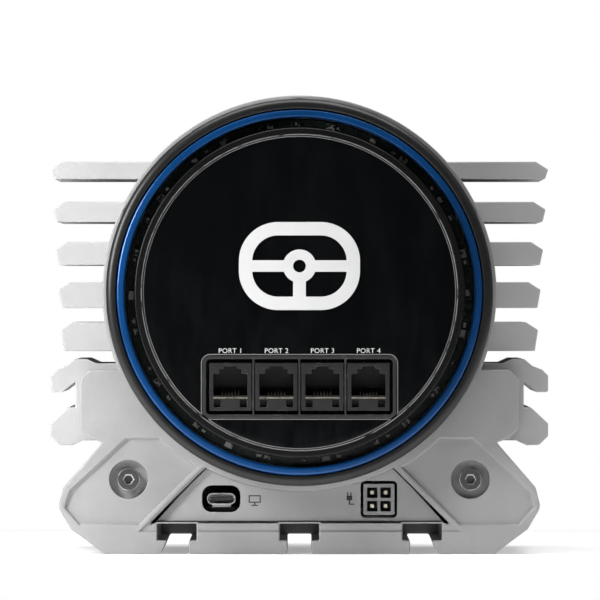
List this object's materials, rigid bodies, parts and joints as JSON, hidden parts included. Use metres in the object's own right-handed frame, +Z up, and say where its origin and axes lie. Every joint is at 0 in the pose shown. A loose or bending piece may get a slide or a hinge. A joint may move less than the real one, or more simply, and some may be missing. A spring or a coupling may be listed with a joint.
{
  "type": "racing wheel base",
  "caption": "Direct-drive motor base for a simulator racing wheel: finned housing, side rails, slotted base, round rear cover with ports, quick-release shaft.",
  "frame": {"origin": "bottom centre of the whole part, on the base face", "axes": "+Y along the motor shaft towards the steering wheel, +Z up, +X to the right seen from the rear"},
  "size_m": [0.1568, 0.2196, 0.1443],
  "materials": {
    "housing_aluminium": "bead-blasted, clear anodised",
    "frame_aluminium": "cast, bead-blasted, clear anodised",
    "screw_steel": "black oxide",
    "bezel_black": "satin black anodised",
    "accent_blue": "satin blue anodised",
    "cover_plastic": "fine moulded texture",
    "face_black": "smooth satin black",
    "emblem_silver": "light grey satin print",
    "contact_metal": "gold flash",
    "board_green": "dark solder mask",
    "component_mix": "moulded epoxy",
    "panel_grey": "grey, fine texture",
    "port_steel": "drawn shell",
    "connector_black": "glass-filled nylon",
    "inlet_nylon": "nylon",
    "nylon_white": "nylon",
    "capacitor_sleeve": "shrink sleeve",
    "lead_rubber": "silicone insulation",
    "ribbon_grey": "flat cable",
    "lamination_steel": "stacked laminations",
    "winding_copper": "enamelled copper",
    "magnet_nickel": "nickel plated",
    "shaft_steel": "ground",
    "bearing_steel": "ground and polished",
    "ball_chrome": "polished",
    "cage_brass": "pressed",
    "spring_steel": "oiled spring steel",
    "front_black": "fine moulded texture",
    "button_black": "satin cap with a light ring",
    "hub_aluminium": "turned, hard anodised",
    "collar_black": "black anodised",
    "jack_plastic": "moulded nylon"
  },
  "bodies": {
    "base": {"housing_extrusion": "housing_aluminium", "rear_end_frame": "frame_aluminium", "front_end_frame": "frame_aluminium", "rear_frame_screws": "screw_steel", "front_frame_screws": "screw_steel", "rear_bezel_ring": "bezel_black", "blue_accent_ring": "accent_blue", "rear_cover": "cover_plastic", "cover_face_plate": "face_black", "cover_emblem": "emblem_silver", "jack_frame": "cover_plastic", "jack_contacts": "contact_metal", "io_board": "board_green", "io_components": "component_mix", "rear_cover_screws": "screw_steel", "port_panel": "panel_grey", "usb_port_shell": "port_steel", "usb_port_tongue": "connector_black", "power_inlet": "inlet_nylon", "power_inlet_pins": "contact_metal", "driver_board": "board_green", "driver_board_spacers": "nylon_white", "driver_board_screws": "screw_steel", "driver_components": "component_mix", "capacitors": "capacitor_sleeve", "power_transistors": "component_mix", "phase_leads": "lead_rubber", "board_ribbon": "ribbon_grey", "stator_core": "lamination_steel", "stator_insulators": "nylon_white", "stator_coils": "winding_copper", "rear_bearing_outer": "bearing_steel", "front_bearing_outer": "bearing_steel", "preload_washer": "spring_steel", "encoder_board": "board_green", "bearing_retainer": "spring_steel", "retainer_screws": "screw_steel", "front_cover": "front_black", "front_cover_screws": "screw_steel", "button_switch": "component_mix", "port_jack_1": "jack_plastic", "port_jack_2": "jack_plastic", "port_jack_3": "jack_plastic", "port_jack_4": "jack_plastic"},
    "rotor": {"shaft": "shaft_steel", "rotor_core": "lamination_steel", "rotor_magnets": "magnet_nickel", "encoder_magnet": "magnet_nickel", "rear_bearing_inner": "bearing_steel", "front_bearing_inner": "bearing_steel", "shaft_circlip": "spring_steel", "quick_release_hub": "hub_aluminium", "hub_clamp_collar": "collar_black", "hub_clamp_screws": "screw_steel", "wheel_connector": "connector_black"},
    "front_ball_cage": {"front_bearing_balls": "ball_chrome", "front_bearing_cage": "cage_brass"},
    "rear_ball_cage": {"rear_bearing_balls": "ball_chrome", "rear_bearing_cage": "cage_brass"},
    "button": {"power_button": "button_black"}
  },
  "joints": [
    {"name": "shaft_spin", "type": "hinge", "parent": "base", "child": "rotor", "pos_m": [0, 0, 0.0823], "axis": [0, 1, 0], "continuous": true},
    {"name": "front_cage_spin", "type": "hinge", "parent": "base", "child": "front_ball_cage", "pos_m": [0, 0, 0.0823], "axis": [0, 1, 0], "continuous": true},
    {"name": "rear_cage_spin", "type": "hinge", "parent": "base", "child": "rear_ball_cage", "pos_m": [0, 0, 0.0823], "axis": [0, 1, 0], "continuous": true},
    {"name": "power_button_press", "type": "slide", "parent": "base", "child": "button", "axis": [0, -1, 0], "range_m": [0, 0.0008], "stiffness_N_per_m": 800, "springref_m": -0.0005}
  ],
  "couplings": [
    {"joint": "front_cage_spin", "follows": "shaft_spin", "ratio": 0.39783},
    {"joint": "rear_cage_spin", "follows": "shaft_spin", "ratio": 0.41111}
  ]
}
